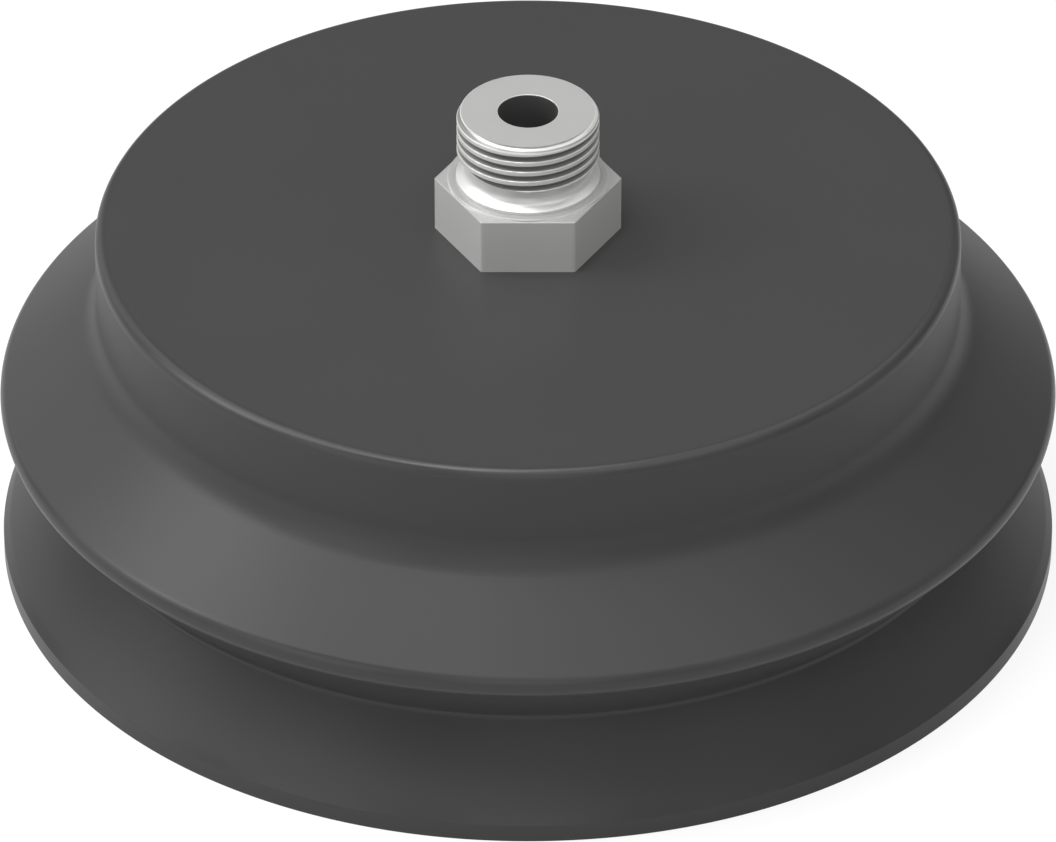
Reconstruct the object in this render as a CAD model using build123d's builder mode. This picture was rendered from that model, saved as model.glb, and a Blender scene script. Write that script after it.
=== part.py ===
# Round bellows suction cup, one and a half folds, with a hollow hexagon fitting on top.
# The moulded rubber cup is stiffened by a round metal plate under its flat top. The fitting's
# lower stem screws into the plate's hub and clamps the rubber between the two.
# Millimetres. Z is the cup's axis, up, and Z = 0 is the plane that the lip rests on.
from build123d import *
from math import asin, degrees, radians, tan
import os

# Lip and skirt
lip_radius = 62.5
lip_edge = 2.2
lip_face = 1.5
valley_radius = 55.2
valley_height = 12.6
valley_round = 0.8

# Fold, the full ring that stands out above the skirt
rim_radius = 62.4
rim_height = 21.3
rim_round = 1.8
rim_inner_round = 0.8

# Straight wall and flat top
wall_radius = 50.8
wall_height = 11.7
waist_round = 5.0
top_height = 43.3
top_round = 1.25

# Rubber thickness, and the bead that holds the plate's edge
cup_wall = 3.0
top_thickness = 3.0
bead_height = 1.5
bead_reach = 2.5

# Support plate under the top
plate_thickness = 3.0
plate_clearance = 0.2
plate_chamfer = 0.4
hub_wall = 7.0
hub_height = 6.0
hub_fillet = 1.5
hub_chamfer = 0.6

# Fitting: stem, hexagon and pipe thread, with one bore through all of them
bore_radius = 3.5
stem_radius = 6.0
stem_clearance = 0.1
stem_recess = 0.6
stem_chamfer = 0.6
hex_flats = 19.0
hex_height = 6.9
shoulder_inset = 0.1
shoulder_height = 0.3
flare_radius = 8.45
flare_rise = 0.35
flare_slope = 30
neck_fillet = 1.2
neck_height = 2.9
neck_depth = 1.13
thread_radius = 8.331
thread_length = 6.4
thread_chamfer = 0.62


def corner_offset(first_normal, second_normal, depth):
    """The way from a corner of two lines to the same corner when both lines move by depth."""
    return (first_normal + second_normal) * (depth / (1 + first_normal.dot(second_normal)))


def right_of(run):
    """The unit normal on the right of a run, where the rubber lies when the outline runs down."""
    return Vector(run.Y, -run.X).normalized()


def inner_corner(before, corner, after):
    """The corner of the inside wall behind one corner of the outside."""
    return corner + corner_offset(right_of(corner - before), right_of(after - corner), cup_wall)


def run_touching_rim(corner, turn):
    """The direction from a corner to the rim's round edge, over it with turn 1, under it with -1."""
    way = rim_centre - corner
    return way.rotate(Axis.Z, turn * degrees(asin(rim_round / way.length)))


# Sharp corners of the cup's outside, from the top edge down to the lip
top_edge = Vector(wall_radius, top_height)
waist = Vector(wall_radius, top_height - wall_height)
rim_centre = Vector(rim_radius - rim_round, rim_height)
valley = Vector(valley_radius, valley_height)
lip_top = Vector(lip_radius, lip_edge)
lip_bottom = Vector(lip_radius, 0)

# The flare comes down from the waist, the fold rises from the valley, and both touch the rim
flare_side = right_of(run_touching_rim(waist, 1))
fold_side = right_of(-run_touching_rim(valley, -1))
rim = rim_centre - corner_offset(flare_side, fold_side, rim_round)

# Levels and radii that the pieces share
stem_hole_radius = stem_radius + stem_clearance
inner_radius = wall_radius - cup_wall
ceiling = top_height - top_thickness
plate_bottom = ceiling - plate_thickness
bead_bottom = plate_bottom - bead_height
bead_radius = inner_radius - bead_reach
hub_bottom = plate_bottom - hub_height
hub_radius = stem_radius + hub_wall
plate_radius = inner_radius - plate_clearance

os.makedirs("parts", exist_ok=True)

# Rubber cup
with BuildPart() as bellows_cup:
    with BuildSketch(Plane.XZ):
        with BuildLine():
            outside = FilletPolyline(
                (stem_hole_radius, top_height),
                top_edge,
                waist,
                rim,
                valley,
                lip_top,
                lip_bottom,
                radius=[top_round, waist_round, rim_round, valley_round, 0],
            )
            inside = FilletPolyline(
                (lip_radius - lip_face, 0),
                inner_corner(rim, valley, lip_top),
                inner_corner(waist, rim, valley),
                inner_corner(top_edge, waist, rim),
                (inner_radius, bead_bottom),
                (bead_radius, bead_bottom),
                (bead_radius, plate_bottom),
                (inner_radius, plate_bottom),
                (inner_radius, ceiling),
                (stem_hole_radius, ceiling),
                radius=[
                    valley_round + cup_wall,
                    rim_inner_round,
                    waist_round + cup_wall,
                    0,
                    0,
                    0,
                    0,
                    0,
                ],
            )
            Line(outside @ 1, inside @ 0)
            Line(inside @ 1, outside @ 0)
        make_face()
    revolve(axis=Axis.Z)
bellows_cup.part.label = "bellows_cup"
export_step(bellows_cup.part, "parts/bellows_cup.step")

# Turned stiffening plate with the hub that the stem screws into
with BuildPart() as support_plate:
    with BuildSketch(Plane.XZ):
        with BuildLine():
            FilletPolyline(
                (stem_hole_radius, hub_bottom),
                (hub_radius - hub_chamfer, hub_bottom),
                (hub_radius, hub_bottom + hub_chamfer),
                (hub_radius, plate_bottom),
                (plate_radius - plate_chamfer, plate_bottom),
                (plate_radius, plate_bottom + plate_chamfer),
                (plate_radius, ceiling - plate_chamfer),
                (plate_radius - plate_chamfer, ceiling),
                (stem_hole_radius, ceiling),
                radius=[0, 0, 0, hub_fillet, 0, 0, 0, 0, 0],
                close=True,
            )
        make_face()
    revolve(axis=Axis.Z)
support_plate.part.label = "support_plate"
export_step(support_plate.part, "parts/support_plate.step")

# Hexagon fitting, turned above and below the hexagon, bored through
hex_top = top_height + hex_height
shoulder_top = hex_top + shoulder_height
shoulder_radius = hex_flats / 2 - shoulder_inset
neck_radius = thread_radius - neck_depth
flare_bottom = shoulder_top + flare_rise
neck_bottom = flare_bottom + (flare_radius - neck_radius) * tan(radians(flare_slope))
thread_bottom = hex_top + neck_height
thread_top = thread_bottom + thread_length
stem_bottom = hub_bottom + stem_recess

with BuildPart() as threaded_fitting:
    with BuildSketch(Plane.XY.offset(top_height)):
        RegularPolygon(hex_flats / 2, 6, major_radius=False)
    extrude(amount=hex_height)
    with BuildSketch(Plane.XZ):
        with BuildLine():
            lower = Polyline(
                (0, stem_bottom),
                (stem_radius - stem_chamfer, stem_bottom),
                (stem_radius, stem_bottom + stem_chamfer),
                (stem_radius, hex_top),
                (shoulder_radius, hex_top),
                (shoulder_radius, shoulder_top),
                (flare_radius, shoulder_top),
                (flare_radius, flare_bottom),
            )
            neck = FilletPolyline(
                lower @ 1,
                (neck_radius, neck_bottom),
                (neck_radius, thread_bottom),
                radius=neck_fillet,
            )
            upper = Polyline(
                neck @ 1,
                (thread_radius, thread_bottom + neck_depth / 2),
                (thread_radius, thread_top - thread_chamfer),
                (thread_radius - thread_chamfer, thread_top),
                (0, thread_top),
            )
            Line(upper @ 1, lower @ 0)
        make_face()
    revolve(axis=Axis.Z)
    with Locations((0, 0, thread_top)):
        Hole(bore_radius)
threaded_fitting.part.label = "threaded_fitting"
export_step(threaded_fitting.part, "parts/threaded_fitting.step")
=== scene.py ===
# Looks of a round bellows suction cup with a threaded hexagon fitting.
# The rubber cup and the metal fitting are fine meshes on the solids' own outlines, in the same places.
# The support plate keeps its solid's mesh and only gets a material.
# Lengths in the outlines are millimetres. Blender's own objects are in metres.
import math

import bpy
import numpy as np
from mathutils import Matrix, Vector


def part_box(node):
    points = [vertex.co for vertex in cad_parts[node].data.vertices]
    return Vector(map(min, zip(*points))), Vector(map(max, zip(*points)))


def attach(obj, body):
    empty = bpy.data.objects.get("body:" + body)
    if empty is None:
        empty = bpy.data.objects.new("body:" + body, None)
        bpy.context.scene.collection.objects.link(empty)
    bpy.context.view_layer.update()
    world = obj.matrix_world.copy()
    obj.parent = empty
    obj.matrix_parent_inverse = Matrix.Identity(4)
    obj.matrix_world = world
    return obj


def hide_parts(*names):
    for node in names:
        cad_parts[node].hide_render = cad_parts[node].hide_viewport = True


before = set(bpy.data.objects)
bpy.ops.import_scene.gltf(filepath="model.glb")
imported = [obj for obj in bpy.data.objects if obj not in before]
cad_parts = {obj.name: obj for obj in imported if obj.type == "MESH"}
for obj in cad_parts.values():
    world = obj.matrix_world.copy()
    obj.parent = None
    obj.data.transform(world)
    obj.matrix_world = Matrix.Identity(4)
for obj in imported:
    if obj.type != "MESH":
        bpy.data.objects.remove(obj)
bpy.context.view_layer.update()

MM = 0.001
TURN = 2 * math.pi


# Sizes taken from the frame

def box_mm(node):
    """The lowest and highest corner of a node's box."""
    low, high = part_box(node)
    return low / MM, high / MM


cup_high = box_mm("bellows_cup")[1]
plate_high = box_mm("support_plate")[1]
fitting_low, fitting_high = box_mm("threaded_fitting")

lip_radius = cup_high.x
top_height = cup_high.z
ceiling = plate_high.z
stem_bottom = fitting_low.z
thread_top = fitting_high.z
hex_sides = 6
hex_flats = fitting_high.x * 2 * math.cos(math.pi / hex_sides)

# Rubber cup
cup_wall = 3.0
lip_edge = 2.2
lip_face = 1.5
lip_round = 0.12
valley_radius = 55.2
valley_height = 12.6
valley_round = 0.8
rim_radius = 62.4
rim_height = 21.3
rim_round = 1.8
rim_inner_round = 0.8
wall_radius = 50.8
wall_height = 11.7
waist_round = 5.0
top_round = 1.25
stem_hole_radius = 6.1
plate_thickness = 3.0
bead_height = 1.5
bead_reach = 2.5
bead_round = 0.3

# Fitting
bore_radius = 3.5
bore_round = 0.12
stem_radius = 6.0
stem_chamfer = 0.6
stem_pitch = 1.25
stem_depth = 0.55
hex_height = 6.9
hex_edge = 0.09
hex_corner = 0.05
shoulder_inset = 0.1
shoulder_height = 0.3
shoulder_edge = 0.14
relief_width = 0.16
relief_depth = 0.12
flare_radius = 8.45
flare_rise = 0.35
flare_slope = math.radians(30)
flare_edge = 0.08
neck_fillet = 1.2
neck_height = 2.9
neck_depth = 1.13
thread_radius = 8.331
chamfer_width = 0.46
chamfer_height = 0.66
face_edge = 0.12
chamfer_round = 0.4
thread_pitch = 1.337
thread_depth = 0.80
thread_start = 0.40

hex_top = top_height + hex_height
shoulder_top = hex_top + shoulder_height
shoulder_radius = hex_flats / 2 - shoulder_inset
flare_bottom = shoulder_top + flare_rise
neck_radius = thread_radius - neck_depth
thread_bottom = hex_top + neck_height

# Mesh steps, the angle above which an edge is sharp, and the slack when sizes are compared
cup_segments = 384
fitting_columns = 40
corner_gap = 0.45
arc_step = math.radians(5)
hold = 0.04
thread_step = 0.038
stem_step = 0.09
cup_crease = math.radians(35)
fitting_crease = math.radians(30)
slack = 0.001


# Outlines

def unit(way):
    return way / np.linalg.norm(way)


def turned(way, angle):
    """A direction turned left by an angle."""
    cos_a, sin_a = math.cos(angle), math.sin(angle)
    return np.array([way[0] * cos_a - way[1] * sin_a, way[0] * sin_a + way[1] * cos_a])


def arc_at(before, corner, after, radius):
    """Points of a round corner, with one more close to each end that keeps the flats flat."""
    into = unit(corner - before)
    out = unit(after - corner)
    cross = into[0] * out[1] - into[1] * out[0]
    turn = math.atan2(cross, into @ out)
    reach = radius * math.tan(abs(turn) / 2)
    side = math.copysign(1.0, turn)
    start = corner - into * reach
    centre = start + side * radius * np.array([-into[1], into[0]])
    steps = max(2, math.ceil(abs(turn) / arc_step))
    arc = [centre + turned(start - centre, turn * k / steps) for k in range(steps + 1)]
    return [start - into * hold, *arc, corner + out * (reach + hold)]


def rounded(corners):
    """A closed outline with round corners, from (radius, height, corner round)."""
    places = [np.array(corner[:2], float) for corner in corners]
    points = []
    for k, (_, _, bend) in enumerate(corners):
        if bend:
            points += arc_at(places[k - 1], places[k], places[(k + 1) % len(places)], bend)
        else:
            points.append(places[k])
    return points


def corner_offset(first, second, depth):
    """The way from a corner of two lines to the same corner when both lines move by depth."""
    return (first + second) * (depth / (1 + first @ second))


def right_of(run):
    """The unit normal on the right of a run."""
    return unit(np.array([run[1], -run[0]]))


def touching(corner, centre, radius, side):
    """The direction from a corner along a line that touches a circle, over it with side 1."""
    way = centre - corner
    return turned(way, side * math.asin(radius / np.linalg.norm(way)))


def cup_outline():
    """Outside from the stem hole down to the lip, then back up inside."""
    hole_top = np.array([stem_hole_radius, top_height])
    top_edge = np.array([wall_radius, top_height])
    waist = np.array([wall_radius, top_height - wall_height])
    rim_centre = np.array([rim_radius - rim_round, rim_height])
    valley = np.array([valley_radius, valley_height])
    lip_top = np.array([lip_radius, lip_edge])
    lip_bottom = np.array([lip_radius, 0.0])
    flare_side = right_of(touching(waist, rim_centre, rim_round, 1))
    fold_side = right_of(-touching(valley, rim_centre, rim_round, -1))
    rim = rim_centre - corner_offset(flare_side, fold_side, rim_round)

    def inside(before, corner, after):
        return corner + corner_offset(right_of(corner - before), right_of(after - corner), cup_wall)

    inner_radius = wall_radius - cup_wall
    plate_bottom = ceiling - plate_thickness
    bead_bottom = plate_bottom - bead_height
    bead_radius = inner_radius - bead_reach
    return rounded([
        (*hole_top, 0),
        (*top_edge, top_round),
        (*waist, waist_round),
        (*rim, rim_round),
        (*valley, valley_round),
        (*lip_top, lip_round),
        (*lip_bottom, lip_round),
        (lip_radius - lip_face, 0, lip_round),
        (*inside(rim, valley, lip_top), valley_round + cup_wall),
        (*inside(waist, rim, valley), rim_inner_round),
        (*inside(top_edge, waist, rim), waist_round + cup_wall),
        (inner_radius, bead_bottom, bead_round),
        (bead_radius, bead_bottom, bead_round),
        (bead_radius, plate_bottom, 0),
        (inner_radius, plate_bottom, 0),
        (inner_radius, ceiling, 0),
        (stem_hole_radius, ceiling, 0),
    ])


# Meshes

def ring_mesh(name, rows, angles, crease):
    """A closed skin from rows of points. A row holds one (radius, height) pair for each angle."""
    rows = np.asarray(rows, float)
    count, around = rows.shape[0], len(angles)
    points = np.empty((count, around, 3))
    points[:, :, 0] = rows[:, :, 0] * np.cos(angles)
    points[:, :, 1] = rows[:, :, 0] * np.sin(angles)
    points[:, :, 2] = rows[:, :, 1]
    row = np.arange(count)[:, None]
    column = np.arange(around)[None, :]
    next_row, next_column = (row + 1) % count, (column + 1) % around
    corners = (
        row * around + column,
        next_row * around + column,
        next_row * around + next_column,
        row * around + next_column,
    )
    faces = np.stack(np.broadcast_arrays(*corners), axis=-1).reshape(-1, 4)
    mesh = bpy.data.meshes.new(name)
    mesh.from_pydata((points.reshape(-1, 3) * MM).tolist(), [], faces.tolist())
    mesh.validate()
    mesh.polygons.foreach_set("use_smooth", [True] * len(mesh.polygons))
    mesh.set_sharp_from_angle(angle=crease)
    piece = bpy.data.objects.new(name, mesh)
    bpy.context.scene.collection.objects.link(piece)
    return piece


def lathe(name, outline, segments, crease):
    """A closed skin from one outline turned round the Z axis."""
    angles = np.linspace(0, TURN, segments, endpoint=False)
    rows = [[point] * segments for point in outline]
    return ring_mesh(name, rows, angles, crease)


# Fitting

def hex_radius(angles, flats):
    """Radius of a hexagon with corners on the X axis, with the corners cut a little."""
    side = TURN / hex_sides
    corner = hex_flats / 2 / math.cos(side / 2) - hex_corner
    return np.minimum(flats / 2 / np.cos(np.mod(angles, side) - side / 2), corner)


def fitting_angles():
    """Each corner of the hexagon, and even steps that start and end close beside it."""
    side = 360 / hex_sides
    steps = np.concatenate([[0], np.linspace(corner_gap, side - corner_gap, fitting_columns)])
    return np.radians(np.concatenate([steps + side * k for k in range(hex_sides)]))


def thread_cut(height, angles, start, pitch, depth):
    """How deep a right-hand V thread with flat crests and eased edges cuts at each angle."""
    phase = np.mod((height - start) / pitch - angles / TURN, 1.0)
    flank = np.abs(phase - 0.5) * 2
    crest, root, ease = 0.36, 0.12, 0.16
    ramp = np.clip((1 - crest - flank) / (1 - crest - root), 0, 1)
    foot = ramp ** 2 / (2 * ease * (1 - ease))
    head = 1 - (1 - ramp) ** 2 / (2 * ease * (1 - ease))
    straight = (ramp - ease / 2) / (1 - ease)
    return depth * np.where(ramp < ease, foot, np.where(ramp > 1 - ease, head, straight))


def stepped(points, radius, step):
    """The outline with closer points on its upright run at one radius."""
    out = []
    for here, after in zip(points, points[1:] + points[:1]):
        out.append(here)
        if max(abs(here[0] - radius), abs(after[0] - radius)) < slack:
            count = math.ceil(abs(after[1] - here[1]) / step)
            out += [here + (after - here) * k / count for k in range(1, count)]
    return out


def fitting_outline():
    """Half of the section on one flat, from the bore's top edge outward, down and back up the bore."""
    neck_bottom = flare_bottom + (flare_radius - neck_radius) * math.tan(flare_slope)
    outline = rounded([
        (bore_radius, thread_top, bore_round),
        (thread_radius - chamfer_width, thread_top, face_edge),
        (thread_radius, thread_top - chamfer_height, chamfer_round),
        (thread_radius, thread_bottom + neck_depth / 2, 0),
        (neck_radius, thread_bottom, 0),
        (neck_radius, neck_bottom, neck_fillet),
        (flare_radius, flare_bottom, flare_edge),
        (flare_radius, shoulder_top - relief_depth, 0),
        (flare_radius + relief_width, shoulder_top - relief_depth, 0),
        (flare_radius + relief_width, shoulder_top, 0),
        (shoulder_radius, shoulder_top, shoulder_edge),
        (shoulder_radius, hex_top, 0),
        (hex_flats / 2 - hex_edge, hex_top, 0),
        (hex_flats / 2, hex_top - hex_edge, 0),
        (hex_flats / 2, top_height, 0),
        (stem_radius, top_height, 0),
        (stem_radius, ceiling, 0),
        (stem_radius, stem_bottom + stem_chamfer, 0),
        (stem_radius - stem_chamfer, stem_bottom, 0),
        (bore_radius, stem_bottom, bore_round),
    ])
    return stepped(stepped(outline, thread_radius, thread_step), stem_radius, stem_step)


def fitting_rows(angles):
    """The outline turned, with the hexagon's corners and both threads."""
    rows = []
    for r, z in fitting_outline():
        radius = np.full_like(angles, r)
        if r > shoulder_radius + slack:
            radius = hex_radius(angles, 2 * r)
        elif thread_bottom < z < thread_top and r > neck_radius:
            cut = thread_cut(z, angles, thread_top - thread_start, thread_pitch, thread_depth)
            radius = np.clip(thread_radius - cut, neck_radius, r)
        elif stem_bottom < z < ceiling:
            cut = thread_cut(z, angles, ceiling, stem_pitch, stem_depth)
            radius = np.minimum(stem_radius - cut, r)
        rows.append(np.stack([radius, np.full_like(angles, z)], axis=-1))
    return rows


def finish_and_shade_of(face):
    """Which of the fitting's finishes, some with painted shade, a face has."""
    radius = math.hypot(face.center.x, face.center.y) / MM
    height = face.center.z / MM
    points_up = face.normal.z > 0.5
    upright = abs(face.normal.z) < 0.1
    # The bore's darker colour is painted shade in the hole.
    if radius < bore_radius + bore_round / 2:
        return "bore"
    # The thread's top, the hexagon's top and the seat get the faced finish, whose darker colour is painted
    # shade.
    if height > thread_top - slack:
        return "faced_shaded"
    if points_up and height > hex_top - hex_edge and radius > flare_radius:
        return "faced_shaded"
    if shoulder_top < height < thread_bottom:
        return "polished"
    if upright and top_height < height < hex_top:
        return "drawn"
    return "turned"


# Materials

# How far a cloudy noise goes from a material's first colour towards its second
cloud_spread = (0.2, 0.8)


class Nodes:
    """A new material with short calls for its nodes."""

    def __init__(self, name):
        self.material = bpy.data.materials.new(name)
        self.material.use_nodes = True
        self.tree = self.material.node_tree
        self.shader = self.tree.nodes["Principled BSDF"]

    def add(self, kind, **values):
        node = self.tree.nodes.new(kind)
        for key, value in values.items():
            setattr(node, key, value)
        return node

    def link(self, output, socket):
        self.tree.links.new(output, socket)

    def noise(self, scale, detail):
        where = self.add("ShaderNodeTexCoord")
        node = self.add("ShaderNodeTexNoise")
        node.inputs["Scale"].default_value = scale
        node.inputs["Detail"].default_value = detail
        self.link(where.outputs["Object"], node.inputs["Vector"])
        return node.outputs["Fac"]

    def between(self, factor, low, high):
        """The low number at factor 0 and the high one at 1."""
        node = self.add("ShaderNodeMapRange")
        node.inputs["To Min"].default_value = low
        node.inputs["To Max"].default_value = high
        self.link(factor, node.inputs["Value"])
        return node.outputs["Result"]

    def ramp(self, value, start, end):
        """0 at the start, 1 at the end and held beyond both."""
        node = self.add("ShaderNodeMapRange")
        node.inputs["From Min"].default_value = start
        node.inputs["From Max"].default_value = end
        self.link(value, node.inputs["Value"])
        return node.outputs["Result"]

    def math(self, operation, *values):
        """A math node whose inputs are outputs of other nodes or plain numbers."""
        node = self.add("ShaderNodeMath", operation=operation)
        for socket, value in zip(node.inputs, values):
            if isinstance(value, float):
                socket.default_value = value
            else:
                self.link(value, socket)
        return node.outputs[0]

    def place(self):
        """The distance from the Z axis, and the height, in metres."""
        where = self.add("ShaderNodeTexCoord")
        parts = self.add("ShaderNodeSeparateXYZ")
        self.link(where.outputs["Object"], parts.inputs["Vector"])
        across = self.add("ShaderNodeCombineXYZ")
        self.link(parts.outputs["X"], across.inputs["X"])
        self.link(parts.outputs["Y"], across.inputs["Y"])
        radius = self.add("ShaderNodeVectorMath", operation="LENGTH")
        self.link(across.outputs["Vector"], radius.inputs[0])
        return radius.outputs["Value"], parts.outputs["Z"]

    def mix(self, factor, first, second):
        """The first colour at factor 0 and the second at 1, each a plain colour or an output."""
        node = self.add("ShaderNodeMix", data_type="RGBA")
        self.link(factor, node.inputs["Factor"])
        for key, colour in (("A", first), ("B", second)):
            if isinstance(colour, tuple):
                node.inputs[key].default_value = (*colour, 1)
            else:
                self.link(colour, node.inputs[key])
        return node.outputs["Result"]

    def bump(self, height, distance, strength):
        node = self.add("ShaderNodeBump")
        node.inputs["Distance"].default_value = distance
        node.inputs["Strength"].default_value = strength
        self.link(height, node.inputs["Height"])
        return node.outputs["Normal"]


def rubber():
    """Satin rubber, glossier on the round edges of the top, the rim and the lip."""
    darkest = (0.0490, 0.0490, 0.0495)
    lightest = (0.0530, 0.0530, 0.0535)
    smoothest = 0.38
    roughest = 0.44
    edge_gloss = 0.11
    edge_start = 0.3
    outer = wall_radius - top_round
    upper = top_height - top_round
    rim = rim_radius - 0.3 * rim_round
    m = Nodes("rubber_satin")
    cloud = m.noise(scale=60, detail=3)
    grain = m.noise(scale=2600, detail=2)
    m.link(m.mix(m.between(cloud, *cloud_spread), darkest, lightest), m.shader.inputs["Base Color"])
    radius, height = m.place()
    top_edge = m.math(
        "MINIMUM",
        m.ramp(radius, (outer - edge_start) * MM, outer * MM),
        m.ramp(height, (upper - edge_start) * MM, upper * MM),
    )
    edge = m.math("MAXIMUM", top_edge, m.ramp(radius, (rim - edge_start) * MM, rim * MM))
    satin = m.between(cloud, smoothest, roughest)
    m.link(m.math("MULTIPLY_ADD", edge, -edge_gloss, satin), m.shader.inputs["Roughness"])
    m.link(m.bump(grain, distance=0.000008, strength=0.6), m.shader.inputs["Normal"])
    m.shader.inputs["IOR"].default_value = 1.38
    return m.material


def satin_metal(name, low, high, roughness, metallic):
    """Metal with fine tool marks. Its dull oxide skin is the share that isn't metallic."""
    spread = 0.03
    m = Nodes(name)
    cloud = m.noise(scale=220, detail=3)
    grain = m.noise(scale=9000, detail=1)
    m.colour = m.mix(m.between(cloud, *cloud_spread), low, high)
    m.link(m.colour, m.shader.inputs["Base Color"])
    m.link(m.between(cloud, roughness - spread, roughness + spread), m.shader.inputs["Roughness"])
    m.link(m.bump(grain, distance=0.000004, strength=0.5), m.shader.inputs["Normal"])
    m.shader.inputs["Metallic"].default_value = metallic
    return m


def threaded_metal():
    """Turned metal that is brightest along its tool marks, with painted shade in the thread grooves."""
    groove_shade = (0.34, 0.34, 0.33)
    crest_start = 0.12
    crest_end = 0.04
    below_thread = 0.4
    above_thread = 0.35
    fade = 0.1
    m = satin_metal(
        "turned_metal", low=(0.86, 0.86, 0.84), high=(0.90, 0.90, 0.88), roughness=0.38, metallic=0.38
    )
    m.shader.inputs["Anisotropic"].default_value = 0.6
    m.shader.inputs["Anisotropic Rotation"].default_value = 0.25
    around = m.add("ShaderNodeTangent", direction_type="RADIAL", axis="Z")
    m.link(around.outputs["Tangent"], m.shader.inputs["Tangent"])
    radius, height = m.place()
    low_end = thread_bottom + below_thread
    high_end = thread_top - above_thread
    # Painted shade: the thread grooves take the dark groove colour, and the crests and both ends beyond
    # the thread keep the metal's own colour.
    crest = m.ramp(radius, (thread_radius - crest_start) * MM, (thread_radius - crest_end) * MM)
    below = m.ramp(height, (low_end + fade) * MM, low_end * MM)
    above = m.ramp(height, (high_end - fade) * MM, high_end * MM)
    clear = m.math("MAXIMUM", m.math("MAXIMUM", crest, below), above)
    m.link(m.mix(clear, groove_shade, m.colour), m.shader.inputs["Base Color"])
    return m.material


# Pieces

cup = lathe("bellows_cup_skin", cup_outline(), cup_segments, cup_crease)
cup.data.materials.append(rubber())
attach(cup, "root")
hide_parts("bellows_cup")

# Faced on top, polished under the thread, drawn on the hexagon's flats, bored, and turned elsewhere; the
# faced, bored and groove colours are painted shade
angles = fitting_angles()
fitting = ring_mesh("threaded_fitting_skin", fitting_rows(angles), angles, fitting_crease)
finishes_and_shades = {
    "turned": threaded_metal(),
    "polished": satin_metal(
        "polished_metal", low=(0.82, 0.82, 0.81), high=(0.86, 0.86, 0.85), roughness=0.40, metallic=0.62
    ).material,
    "drawn": satin_metal(
        "drawn_metal", low=(0.60, 0.60, 0.59), high=(0.64, 0.64, 0.63), roughness=0.42, metallic=0.15
    ).material,
    # A faced finish whose colour, darker than the turned metal's, is painted shade on the flat tops.
    "faced_shaded": satin_metal(
        "faced_shaded_metal", low=(0.51, 0.51, 0.50), high=(0.55, 0.55, 0.54), roughness=0.32, metallic=0.30
    ).material,
    # Bored finish, with a darker colour that is painted shade in the hole.
    "bore": satin_metal(
        "bore_metal_shaded", low=(0.38, 0.38, 0.38), high=(0.42, 0.42, 0.42), roughness=0.45, metallic=1.0
    ).material,
}
for material in finishes_and_shades.values():
    fitting.data.materials.append(material)
slots = {finish: index for index, finish in enumerate(finishes_and_shades)}
for face in fitting.data.polygons:
    face.material_index = slots[finish_and_shade_of(face)]
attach(fitting, "root")
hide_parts("threaded_fitting")

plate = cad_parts["support_plate"]
plate.data.materials.clear()
plate_metal = satin_metal(
    "plate_metal", low=(0.56, 0.56, 0.56), high=(0.62, 0.62, 0.62), roughness=0.38, metallic=0.7
)
plate.data.materials.append(plate_metal.material)


# Floor

def pale_floor():
    """White to the camera and in reflections, with the object's soft shadow, and light grey to light."""
    light_grey = 0.8
    floor_shade = 0.2
    lamp_level = 0.8
    mirrored_share = 0.65
    m = Nodes("pale_floor")
    m.tree.nodes.clear()
    ray = m.add("ShaderNodeLightPath").outputs
    mirrored = m.math("MAXIMUM", ray["Is Glossy Ray"], ray["Is Transmission Ray"])
    seen = m.math("MAXIMUM", ray["Is Camera Ray"], mirrored)
    plain = m.add("ShaderNodeBsdfDiffuse")
    plain.inputs["Color"].default_value = (light_grey, light_grey, light_grey, 1)
    shaded = m.add("ShaderNodeBsdfDiffuse")
    shaded.inputs["Color"].default_value = (floor_shade, floor_shade, floor_shade, 1)
    glow = m.add("ShaderNodeEmission")
    share = m.math("MAXIMUM", ray["Is Camera Ray"], mirrored_share)
    m.link(m.math("MULTIPLY", share, 1.0 - lamp_level * floor_shade), glow.inputs["Strength"])
    white = m.add("ShaderNodeAddShader")
    m.link(shaded.outputs["BSDF"], white.inputs[0])
    m.link(glow.outputs["Emission"], white.inputs[1])
    choose = m.add("ShaderNodeMixShader")
    m.link(seen, choose.inputs["Fac"])
    m.link(plain.outputs["BSDF"], choose.inputs[1])
    m.link(white.outputs["Shader"], choose.inputs[2])
    output = m.add("ShaderNodeOutputMaterial")
    m.link(choose.outputs["Shader"], output.inputs["Surface"])
    return m.material


floor_half = 3.0
floor_mesh = bpy.data.meshes.new("floor")
floor_mesh.from_pydata(
    [(x, y, 0.0) for x, y in ((-1, -1), (1, -1), (1, 1), (-1, 1))],
    [],
    [(0, 1, 2, 3)],
)
floor = bpy.data.objects.new("floor", floor_mesh)
bpy.context.scene.collection.objects.link(floor)
floor.scale = (floor_half, floor_half, 1)
floor.data.materials.append(pale_floor())

# Camera, from the outline of the object in the photograph
image_width = 1056
focal_pixels = 11159.5
sensor_width = 36.0
view_elevation = math.radians(34.345)
view_distance = 1.32387
aim_height = 0.015795

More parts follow.
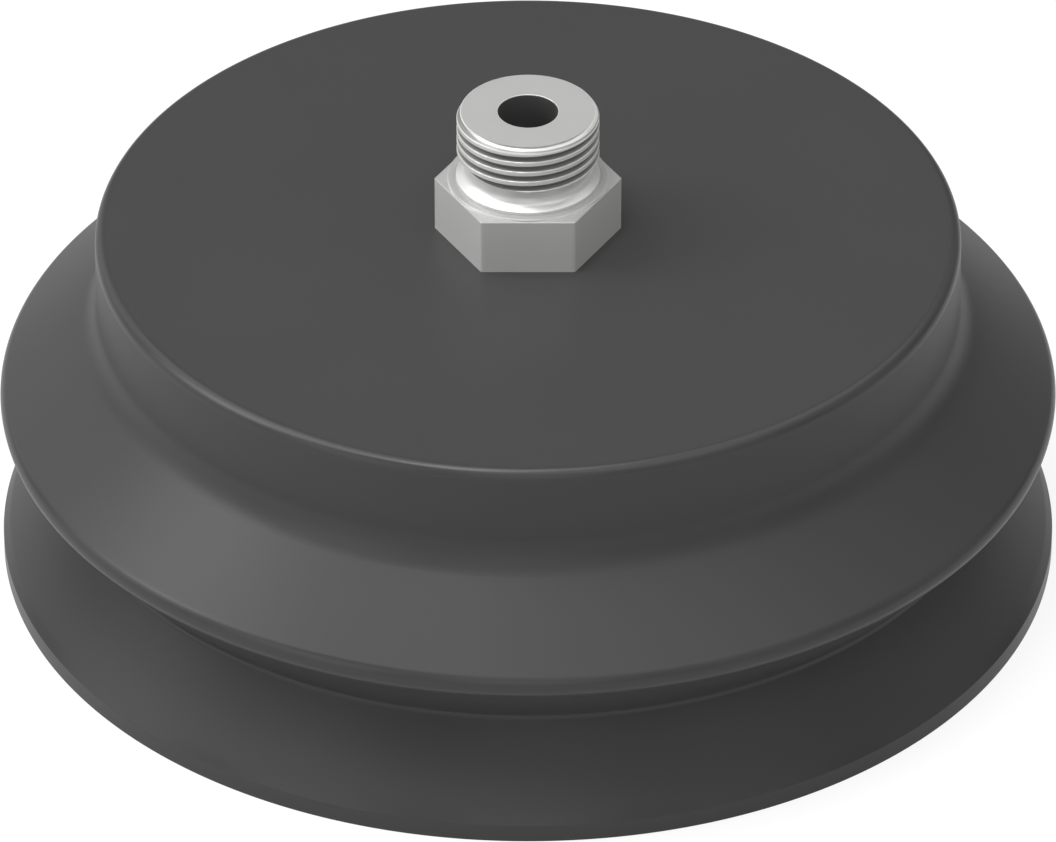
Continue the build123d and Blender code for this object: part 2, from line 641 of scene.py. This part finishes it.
camera_data = bpy.data.cameras.new("camera")
camera_data.sensor_width = sensor_width
camera_data.lens = sensor_width * focal_pixels / image_width
camera_data.clip_start = 0.01
camera_data.clip_end = 20
camera = bpy.data.objects.new("camera", camera_data)
bpy.context.scene.collection.objects.link(camera)
camera.location = (
    0,
    -view_distance * math.cos(view_elevation),
    aim_height + view_distance * math.sin(view_elevation),
)
camera.rotation_euler = (math.pi / 2 - view_elevation, 0, 0)
bpy.context.scene.camera = camera


# Light

lamp_distance = 0.9
lamp_aim = Vector((0, 0, 0.03))


def soft_box(name, azimuth, elevation, width, power):
    """A square lamp aimed at the object. Azimuth 0 is in front and 90 on the right."""
    data = bpy.data.lights.new(name, "AREA")
    data.size = width
    data.energy = power
    lamp = bpy.data.objects.new(name, data)
    bpy.context.scene.collection.objects.link(lamp)
    a, e = math.radians(azimuth), math.radians(elevation)
    way = Vector((math.sin(a) * math.cos(e), -math.cos(a) * math.cos(e), math.sin(e)))
    lamp.location = lamp_aim + way * lamp_distance
    lamp.rotation_euler = (-way).to_track_quat("-Z", "Y").to_euler()


# Azimuth, elevation, width of the square in metres, and power in watts
lamps = {
    "overhead_lamp": (180, 86, 0.25, 1.3),
    "high_front_left_lamp": (315, 75, 0.25, 2.1),
    "front_lamp": (0, 55, 0.5, 0.7),
    "front_right_lamp": (45, 55, 0.5, 1.0),
    "right_lamp": (90, 55, 0.5, 0.5),
    "back_right_lamp": (135, 55, 0.5, 0.9),
    "back_left_lamp": (225, 55, 0.5, 1.0),
    "left_lamp": (270, 55, 0.5, 2.5),
    "left_lower_lamp": (270, 37, 0.3, 1.2),
    "low_front_lamp": (0, 20, 0.5, 0.85),
    "low_front_right_lamp": (45, 20, 0.5, 0.45),
    "low_right_lamp": (90, 20, 0.5, 0.35),
    "low_back_right_lamp": (135, 20, 0.5, 0.2),
    "low_back_lamp": (180, 20, 0.5, 0.2),
    "low_back_left_lamp": (225, 20, 0.5, 0.65),
    "low_left_lamp": (270, 20, 0.5, 1.0),
    "low_front_left_lamp": (315, 20, 0.5, 0.9),
}
for name, values in lamps.items():
    soft_box(name, *values)

world_grey = 0.005
world = bpy.data.worlds.new("studio")
world.use_nodes = True
world.node_tree.nodes["Background"].inputs["Color"].default_value = (world_grey, world_grey, world_grey, 1)
bpy.context.scene.world = world
bpy.context.scene.view_settings.view_transform = "Standard"
